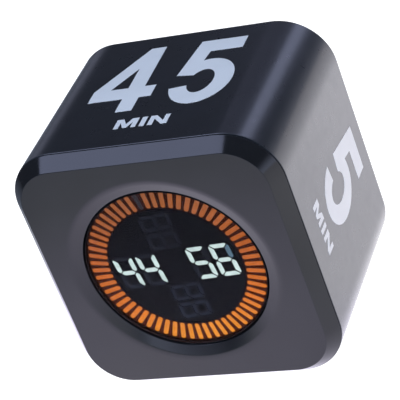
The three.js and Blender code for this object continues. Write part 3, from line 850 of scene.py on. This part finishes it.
# Each glyph is a list of loops, outline first and then holes, from its left edge and baseline.
GLYPHS = {
    "0": [arc(7, 12.3, 7, 12.5, 0, 350, 47), arc(7, 12.3, 3.0, 8.5, 0, 350, 47)],
    "1": [[(8.8, 0), (4.7, 0), (4.7, 17.2), (0, 15.6), (0, 19.4), (5.6, 24.6), (8.8, 24.6)]],
    "3": [
        arc(6.9, 18.1, 6.3, 6.6, 184, -38)
        + arc(6.9, 7.3, 7.0, 7.5, 50, -174)
        + arc(6.9, 7.3, 2.9, 3.7, -172, 100)
        + [(5.2, 11.0), (5.2, 14.2)]
        + arc(6.9, 18.0, 2.4, 3.0, -100, 176)
    ],
    "4": [
        [(8.4, 24.6), (11.9, 24.6), (11.9, 9.1), (14.6, 9.1), (14.6, 4.95), (11.9, 4.95), (11.9, 0),
         (8.1, 0), (8.1, 4.95), (0, 4.95), (0, 9.05)],
        [(8.1, 16.75), (8.1, 9.1), (3.9, 9.1)],
    ],
    "5": [
        [(2.1, 24.5), (12.7, 24.4), (12.7, 20.0), (5.4, 20.0), (4.9, 16.4)]
        + arc(6.9, 8.3, 7.0, 8.4, 106, -168, 40)
        + arc(6.7, 8.3, 2.9, 4.4, -164, 144, 40)
        + [(0.3, 11.5)],
    ],
    "M": [[(0, 0), (0, 3.3), (1.55, 3.3), (2.5, 1.35), (3.45, 3.3), (5, 3.3), (5, 0), (3.9, 0),
           (3.9, 2.05), (2.95, 0.1), (2.05, 0.1), (1.1, 2.05), (1.1, 0)]],
    "I": [[(0, 0), (0, 3.3), (1.15, 3.3), (1.15, 0)]],
    "N": [[(0, 0), (0, 3.3), (1.3, 3.3), (3.25, 1.2), (3.25, 3.3), (4.35, 3.3), (4.35, 0), (3.05, 0),
           (1.1, 2.1), (1.1, 0)]],
    "S": [
        stroke(
            arc(1.7, 2.42, 1.15, 0.62, 30, 262, 14) + arc(1.7, 0.9, 1.2, 0.64, 82, -150, 14), 0.62,
        ),
    ],
}


def lettering(text, gap, baseline, scale=1):
    """The loops of a centred line of glyphs, grouped by glyph."""
    widths = [max(x for x, _ in GLYPHS[c][0]) for c in text]
    left = -(sum(widths) + gap * (len(text) - 1)) / 2
    glyphs = []
    for character, width in zip(text, widths):
        glyphs.append([[Vector(((left + x) * scale, baseline + y * scale)) for x, y in loop]
                       for loop in GLYPHS[character]])
        left += width + gap
    return glyphs


def add_mark(bm, loops, to_row, height):
    """A thin solid of a filled outline with holes. to_row places a flat point at a height."""
    edges_in = []
    for loop in loops:
        verts = [bm.verts.new(to_row(p, -INK)) for p in loop]
        edges_in += [bm.edges.new((a, b)) for a, b in zip(verts, verts[1:] + verts[:1])]
    filled = bmesh.ops.triangle_fill(bm, use_beauty=True, edges=edges_in)
    faces = [f for f in filled["geom"] if isinstance(f, bmesh.types.BMFace)]
    raised = bmesh.ops.extrude_face_region(bm, geom=faces, use_keep_orig=True)
    shift = to_row(Vector((0, 0)), height) - to_row(Vector((0, 0)), -INK)
    moved = [v for v in raised["geom"] if isinstance(v, bmesh.types.BMVert)]
    bmesh.ops.translate(bm, vec=shift, verts=moved)


def side_print(name, number, quarter):
    """A number of minutes on one side of the case; quarter turns count from the top side."""
    turn = Matrix.Rotation(quarter * math.pi / 2, 3, "Y")
    centre = place(0, 0, 0)

    def to_row(p, height):
        flat = Vector((p.x, p.y, OUTSIDE + height)) * MM
        return centre + turn @ flat

    def marks(bm):
        figures = lettering(number, NUMBER_GAP, NUMBER_BASE)
        for loops in figures + lettering("MIN", LETTER_GAP, LETTER_BASE):
            add_mark(bm, loops, to_row, INK)

    return settle(build(name, marks), INK_WHITE, "case", "white_plastic")


# ---- Rear cover and controls ----

PUSHES = {"minute": "minute_push", "start": "start_push", "second": "second_push"}


def rear_cover():
    front = face_box("main_board")[1].z + GAP
    high = face_box("rear_cover")[1]
    cover_front = high.z - COVER_THICK
    reach = HALF - COVER_INSET

    def plate(bm):
        loops = []
        for _, corner in softened([("s", 0, cover_front, 0), ("s", reach, cover_front, 0.1),
                                   ("s", reach, REAR, 0.3), ("s", 0, REAR, 0)])[1:-1]:
            loops.append(at_depth(square_points(corner.x), corner.y))
        add_loft(bm, loops)

    def posts(bm):
        for x, up in corner_places(*BOARD_POST):
            add_turned(bm, [(POST_R, front, 0.15), (POST_R, cover_front + 0.5, 0)], x, up)

    def openings(bm):
        for x, up in corner_places(abs(middle("rear_screw_1").x)):
            sink = high.z - SINK_DEPTH
            add_turned(bm, [(SCREW_HOLE_R, cover_front - 1, 0), (SCREW_HOLE_R, sink, 0),
                            (SINK_R, sink, 0), (SINK_R, REAR - 0.25, 0.2),
                            (SINK_R + 0.5, REAR + 0.25, 0)], x, up)
        for name in PUSHES:
            spot = middle(name + "_button")
            hole = BUTTON_R + GAP
            add_turned(bm, [(hole, cover_front - 1, 0), (hole, REAR - 0.35, 0.3),
                            (BUTTON_R + 0.9, REAR + 0.25, 0)], spot.x, spot.y, 64)
        spot = middle("buzzer")
        for i in range(7):
            radius = SOUND_RING_R if i else 0
            angle = i * math.pi / 3
            x, up = spot.x + radius * math.cos(angle), spot.y + radius * math.sin(angle)
            add_turned(bm, [(SOUND_HOLE_R, cover_front - 1, 0), (SOUND_HOLE_R, REAR - 0.2, 0.15),
                            (SOUND_HOLE_R + 0.4, REAR + 0.2, 0)], x, up, HOLE_STEPS)
        add_slot(bm, middle("volume_switch"), SLIDER_SLOT, 0.35, cover_front)
        add_slot(bm, middle("usb_socket"), (USB_HALF[0] + GAP, USB_HALF[1] + GAP), USB_HALF[1] + 0.25,
                 cover_front)

    def post_holes(bm):
        for x, up in corner_places(*BOARD_POST):
            add_hole(bm, POST_HOLE_R, front - 1, cover_front - 0.2, x, up)

    cover = build("rear_cover_fine", plate)
    join(cover, posts)
    cut(cover, openings)
    cut(cover, post_holes)
    return settle(cover, SATIN, "case", "satin_black", "rear_cover")


def add_slot(bm, spot, half, radius, cover_front):
    """A cutter for a rounded slot with a flared mouth at the rear face."""
    def outline(grow):
        return rounded_box(half[0] + grow, half[1] + grow, radius + grow, spot.x, spot.y, 8)

    steps = [(0, cover_front - 1), (0, REAR - 0.3), (0.04, REAR - 0.2), (0.14, REAR - 0.08),
             (0.4, REAR + 0.15)]
    add_loft(bm, [at_depth(outline(grow), depth) for grow, depth in steps])


def push_button(name, body):
    """A flanged cap with a shallow hollow. Returns where its mark goes."""
    node = name + "_button"
    low, high = face_box(node)
    spot = middle(node)
    flange = (high.x - low.x) / 2
    flange_rear = low.z + BUTTON_FLANGE
    face, dish = high.z - INK, high.z - BUTTON_DISH
    cap = build(name + "_cap", lambda bm: add_turned(bm, [
        (flange, low.z, 0.1), (flange, flange_rear, 0.15), (BUTTON_R, flange_rear, 0),
        (BUTTON_R, face, 0.35), (BUTTON_R - 1.1, face, 0.3), (BUTTON_R - 1.5, dish, 0.3),
    ], spot.x, spot.y, 72))
    settle(cap, GLOSS, body, "gloss_black", node)
    return spot, dish


def cap_mark(name, glyphs, spot, depth, body):
    """A small mark in the hollow of a button; the rear face is read from behind."""
    def to_row(p, height):
        return place(spot.x - p.x, spot.y + p.y, depth + height)

    def marks(bm):
        for loops in glyphs:
            add_mark(bm, loops, to_row, INK)

    return settle(build(name, marks), INK_WHITE, body, "white_plastic")


def play_pause():
    triangle = [Vector((-1.75, -1.15)), Vector((0.15, 0)), Vector((-1.75, 1.15))]
    bars = [[Vector((x, -1.15)), Vector((x + 0.5, -1.15)), Vector((x + 0.5, 1.15)), Vector((x, 1.15))]
            for x in (0.6, 1.4)]
    return [[triangle]] + [[bar] for bar in bars]


def buttons():
    marks = {
        "minute": lettering("M", 0, -1.15, 0.7),
        "start": play_pause(),
        "second": lettering("S", 0, -1.15, 0.7),
    }
    for name, body in PUSHES.items():
        spot, depth = push_button(name, body)
        cap_mark(name + "_mark", marks[name], spot, depth, body)


def volume_slider():
    """A ribbed grip on a plate behind the cover, with a well that takes the switch's lever."""
    low, high = face_box("volume_slider")
    spot = middle("volume_slider")
    plate_rear = face_box("rear_cover")[1].z - COVER_THICK - GAP
    half = (high.x - low.x) / 2, (high.y - low.y) / 2
    grip_rear = high.z - INK

    def outline(half_x, half_up, radius):
        return rounded_box(half_x, half_up, radius, spot.x, spot.y, 6)

    def block(points, front, rear):
        return lambda bm: add_prism(bm, points, front, rear)

    def grip(bm):
        half_up = SLIDER_SLOT[1] - GAP
        rows = []
        for s, depth in ((0, plate_rear - 0.5), (0, grip_rear - 0.3), (0.07, grip_rear - 0.12),
                         (0.24, grip_rear)):
            rows.append(at_depth(outline(2.3 - s, half_up - s, 0.5 - s / 2), depth))
        add_loft(bm, rows)

    def grooves(bm):
        for offset in (-1.2, 0, 1.2):
            strip = rounded_box(0.3, 2.4, 0.25, spot.x + offset, spot.y, 4)
            wide = rounded_box(0.42, 2.5, 0.3, spot.x + offset, spot.y, 4)
            add_loft(bm, [at_depth(strip, grip_rear - 0.45), at_depth(strip, grip_rear - 0.12),
                          at_depth(wide, grip_rear + 0.1)])

    slider = build("volume_slider_fine", block(outline(*half, 0.4), plate_rear - 1.2, plate_rear))
    join(slider, block(outline(2.2, 2.2, 0.3), low.z, plate_rear - 1))
    join(slider, grip)
    cut(slider, block(outline(1.2, 1.2, 0.1), low.z - 1, plate_rear - 0.9))
    cut(slider, grooves)
    return settle(slider, GLOSS, "slider", "gloss_black", "volume_slider")


def usb_socket():
    """The charging socket: a drawn steel shell, its tongue and the contacts on it."""
    low, high = face_box("usb_socket")
    spot = middle("usb_socket")
    sheet = 0.3
    mouth = high.z
    half_x, half_up = USB_HALF

    def outline(shrink):
        radius = half_up - 0.05 - shrink
        return rounded_box(half_x - shrink, half_up - shrink, radius, spot.x, spot.y, 10)

    def shell(bm):
        steps = [(0, low.z), (0, mouth - 0.1), (0.06, mouth), (sheet - 0.06, mouth),
                 (sheet, mouth - 0.1), (sheet, low.z + 2)]
        add_loft(bm, [at_depth(outline(shrink), depth) for shrink, depth in steps])

    def tongue(bm):
        rows = []
        for s, depth in ((0, low.z + 2.05), (0, mouth - 1.2), (0.1, mouth - 1)):
            tip = rounded_box(3.3 - s, 0.35 - s, 0.2 - s / 2, spot.x, spot.y, 3)
            rows.append(at_depth(tip, depth))
        add_loft(bm, rows)

    def contacts(bm):
        for side in (-1, 1):
            for i in range(12):
                x = spot.x + (i - 5.5) * 0.5
                pad = rounded_box(0.12, 0.03, 0.01, x, spot.y + side * 0.36, 2)
                add_prism(bm, pad, low.z + 3, mouth - 1.35)

    settle(build("usb_shell", shell), STEEL, "case", "steel", "usb_socket")
    settle(build("usb_tongue", tongue), TONGUE, "case", "chip_black", "usb_socket")
    settle(build("usb_contacts", contacts), GOLD, "case", "steel", "usb_socket")


def rear_screw(number):
    """A pan-head screw, its cross cut one slot at a time."""
    node = f"rear_screw_{number}"
    low, high = face_box(node)
    spot = middle(node)
    seat = high.z - SCREW_HEAD
    head = (high.x - low.x) / 2

    def body(bm):
        add_turned(bm, [(0.5, low.z, 0), (1.2, low.z + 1.2, 0.2), (1.2, seat, 0), (head, seat, 0.08),
                        (head, seat + 0.45, 0.3), (0.55 * head, high.z - 0.02, 0.8)], spot.x, spot.y)

    def slot(turned_by, bottom):
        turn = Matrix.Rotation(turned_by + 0.3 * number, 2)
        rows = []
        for half_long, half_wide, depth in ((0.5, 0.18, high.z - bottom), (1.35, 0.32, high.z + 0.3)):
            corners = [turn @ Vector(c) + spot.xy for c in corner_places(half_long, half_wide)]
            rows.append(at_depth(corners, depth))
        return lambda bm: add_loft(bm, rows)

    screw = build(f"cover_screw_{number}", body)
    cut(screw, slot(0, 0.7))
    cut(screw, slot(math.pi / 2, 0.66))
    return settle(screw, STEEL, "case", "steel", node)


def volume_dots():
    """Three dots that grow along the slider's slot, from quiet to loud."""
    spot = middle("volume_switch")

    def to_row(p, height):
        return place(p.x, p.y, REAR + height)

    def dots(bm):
        for i, radius in enumerate((0.22, 0.34, 0.48)):
            loop = circle_points(radius, even_angles(24), spot.x + 3 - 3 * i, spot.y - 3.6)
            add_mark(bm, [loop], to_row, INK)

    return settle(build("volume_dots", dots), INK_WHITE, "case", "white_plastic")


# ---- Carried-over CAD nodes ----

KEPT = {
    "bar_diffuser": CREAM, "digit_diffuser": CREAM, "light_baffle": GREY, "display_board": BOARD,
    "battery_holder": GREY, "battery_cell": FOIL, "main_board": BOARD, "volume_switch": STEEL,
    "volume_lever": CREAM, "buzzer": CHIP, "controller_chip": CHIP, "motion_sensor": CHIP,
    "charger_chip": CHIP, "battery_plug": CREAM, "battery_socket": CREAM, "battery_lead_red": RED,
    "battery_lead_black": BLACK_WIRE, "display_socket": CREAM, "ribbon_socket": CREAM,
    "ribbon_cable": CREAM,
}
KEPT_ENDINGS = {"_switch": CHIP, "_plunger": CREAM}


def kept_material(name):
    if name in KEPT:
        return KEPT[name]
    if "screw" in name:
        return STEEL
    return next(material for ending, material in KEPT_ENDINGS.items() if name.endswith(ending))


def dress_kept_nodes():
    for name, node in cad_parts.items():
        if node.hide_render:
            continue
        node.data.materials.clear()
        node.data.materials.append(kept_material(name))


# ---- Studio ----

CAMERA_AZIMUTH = 28.73
CAMERA_ELEVATION = 30.24
CAMERA_ROLL = 21.5
CAMERA_DISTANCE = 406.98 * MM
CAMERA_AIM = Vector((-1.12, 1.54)) * MM  # off the case's middle, along the picture
CAMERA_LENS = 171.81


def add_camera():
    azimuth, elevation = math.radians(CAMERA_AZIMUTH), math.radians(CAMERA_ELEVATION)
    back = Vector((math.sin(azimuth) * math.cos(elevation), -math.cos(azimuth) * math.cos(elevation),
                   math.sin(elevation)))
    upright = back.to_track_quat("Z", "Y").to_matrix()
    turn = upright @ Matrix.Rotation(-math.radians(CAMERA_ROLL), 3, "Z")
    data = bpy.data.cameras.new("camera")
    data.lens = CAMERA_LENS
    camera = bpy.data.objects.new("camera", data)
    centre = place(0, 0, DEPTH / 2)
    offset = turn @ Vector((CAMERA_AIM.x, CAMERA_AIM.y, CAMERA_DISTANCE))
    camera.matrix_world = Matrix.Translation(centre + offset) @ turn.to_4x4()
    bpy.context.scene.collection.objects.link(camera)
    bpy.context.scene.camera = camera


def add_softbox(name, direction, distance, width, height, radiance, colour, mirrored=True):
    """An area light that faces the case from a direction. Glossy surfaces may mirror it or not."""
    data = bpy.data.lights.new(name, "AREA")
    data.shape = "RECTANGLE"
    data.size = width
    data.size_y = height
    data.energy = radiance * math.pi * width * height
    data.color = colour
    light = bpy.data.objects.new(name, data)
    away = Vector(direction).normalized()
    light.location = place(0, 0, DEPTH / 2) + away * distance
    light.rotation_mode = "QUATERNION"
    light.rotation_quaternion = away.to_track_quat("Z", "Y")
    light.visible_camera = False
    light.visible_glossy = mirrored
    bpy.context.scene.collection.objects.link(light)


FLOOR_REACH = 400  # the floor's light changes up to this distance
FLOOR_STRENGTH = 2
FLOOR_IN_FRONT = [
    (8, rgb(1.38, 1.28, 1.53)), (20, rgb(1.30, 1.20, 1.48)), (36, rgb(1.28, 1.18, 1.47)),
    (50, rgb(1.10, 1.02, 1.28)), (88, rgb(0.68, 0.67, 0.73)), (FLOOR_REACH, rgb(0.05, 0.05, 0.06)),
]
FLOOR_BESIDE = [
    (70, rgb(1.13, 1.09, 1.15)), (105, rgb(1.26, 1.22, 1.28)), (175, rgb(1.06, 1.03, 1.10)),
    (FLOOR_REACH, rgb(0.90, 0.87, 0.94)),
]


def floor_light(tree, point, centre, radiances):
    """The light off the floor by its distance from a spot on it, in millimetres."""
    offset = add_node(tree, "VectorMath", {0: point, 1: centre}, operation="SUBTRACT")
    distance = add_node(tree, "VectorMath", {0: offset.outputs[0]}, operation="LENGTH")
    share = ranged(tree, distance.outputs["Value"], 0, FLOOR_REACH)
    stops = [(reach / FLOOR_REACH, scaled_colour(light, 1 / FLOOR_STRENGTH))
             for reach, light in radiances]
    return ramp(tree, share, stops)


def share_along(tree, point, direction, start, end):
    """0 to 1 between two distances along a direction, in millimetres."""
    along = add_node(tree, "VectorMath", {0: point, 1: direction}, operation="DOT_PRODUCT")
    return ranged(tree, along.outputs["Value"], start, end)


def add_floor():
    """A pale floor that is a soft light for the case and plain white to the camera."""
    bm = bmesh.new()
    bmesh.ops.create_circle(bm, cap_ends=True, segments=96, radius=2.6)
    floor = new_piece("floor", bm)
    floor.location = (0, 0, cad_low.z - 0.01 * MM)
    material, tree, shader = new_material("pale_floor")
    point = millimetres(tree)
    in_front = floor_light(tree, point, (-20, -25, 0), FLOOR_IN_FRONT)
    beside = floor_light(tree, point, (0, 0, 0), FLOOR_BESIDE)
    lit = mixed(tree, share_along(tree, point, (0.5, 0.87, 0), -18, 30), in_front, beside)
    shade = share_along(tree, point, (-0.98, 0.2, 0), 52, 112)
    light = mixed(tree, shade, lit, rgb(0.02, 0.02, 0.025))
    path = add_node(tree, "LightPath")
    seen = mixed(tree, path.outputs["Is Camera Ray"], light, rgb(0.6, 0.6, 0.6))
    tone = mixed(tree, noise(tree, point, 0.02, 0, 1), rgb(0.24, 0.24, 0.24), rgb(0.26, 0.26, 0.26))
    feed(tree, shader, {
        "Base Color": tone, "Emission Color": seen, "Emission Strength": FLOOR_STRENGTH,
        "Roughness": 0.9, "Specular IOR Level": 0.1,
    })
    floor.data.materials.append(material)


def add_world():
    """A white backdrop to the camera, and a dim room with a paler horizon to everything else."""
    world = bpy.data.worlds.new("studio")
    world.use_nodes = True
    tree = world.node_tree
    tree.nodes.clear()
    source = add_node(tree, "TexCoord")
    split = add_node(tree, "SeparateXYZ", {0: source.outputs["Generated"]})
    low = ranged(tree, split.outputs["Z"], 0, 0.3, 1, 0, interpolation_type="SMOOTHSTEP")
    side = ranged(tree, split.outputs["X"], -0.6, -0.1)
    front = ranged(tree, split.outputs["Y"], -0.4, 0.4, 1.75, 0.35)
    horizon = add_node(tree, "Math", {0: low, 1: side}, operation="MULTIPLY")
    strength = add_node(tree, "Math", {0: horizon.outputs[0], 1: front, 2: 0.065},
                        operation="MULTIPLY_ADD")
    room = add_node(tree, "Background", {
        "Color": rgb(0.72, 0.8, 1.08), "Strength": strength.outputs[0],
    })
    pale = add_node(tree, "Background", {"Color": rgb(1, 1, 1), "Strength": 1.2})
    path = add_node(tree, "LightPath")
    mix = add_node(tree, "MixShader", {
        0: path.outputs["Is Camera Ray"], 1: room.outputs[0], 2: pale.outputs[0],
    })
    add_node(tree, "OutputWorld", {"Surface": mix.outputs[0]})
    bpy.context.scene.world = world


def add_lights():
    add_softbox("overhead", (-0.415, -0.371, 0.829), 0.75, 0.42, 0.34, 3.4, (0.6, 0.67, 1))
    add_softbox("strip", (0.27, 0.757, 0.595), 0.8, 0.17, 0.9, 1.7, (0.63, 0.69, 1))
    add_softbox("rear_glow", (-0.5, 0.85, 0.15), 0.8, 0.75, 0.2, 0.25, (0.7, 0.74, 1))
    add_softbox("rear_halo", (-0.12, 0.8, 0.6), 0.8, 0.36, 0.3, 0.17, (0.66, 0.68, 1))
    add_softbox("front_fill", (0.25, -0.93, 0.35), 1.1, 0.9, 0.7, 2.0, (0.95, 0.97, 1),
                mirrored=False)
    add_softbox("high_fill", (0.15, -0.82, 0.55), 1.1, 0.55, 0.55, 11.9, (0.555, 0.756, 1),
                mirrored=False)


# ---- Assembly ----

add_camera()
body_tube()
front_bezel()
display_lens()
display_face()
bar_guides("lit_bars", [i for i in range(BAR_COUNT) if i != UNLIT_BAR], AMBER)
bar_guides("unlit_bar", [UNLIT_BAR], UNLIT_AMBER_PAINTED_GLOW)
segment_guides("lit_segments", "lit", WHITE_LIGHT)
segment_guides("fading_segment", "fading", FADING)
segment_guides("unlit_segments", "unlit", UNLIT_PAINTED_GLOW)
side_print("print_45", "45", 0)
side_print("print_5", "5", 1)
side_print("print_15", "15", 2)
side_print("print_30", "30", 3)
rear_cover()
buttons()
volume_slider()
usb_socket()
for screw_number in range(1, 5):
    rear_screw(screw_number)
volume_dots()
dress_kept_nodes()
add_floor()
add_world()
add_lights()
bpy.context.scene.view_settings.view_transform = "Standard"
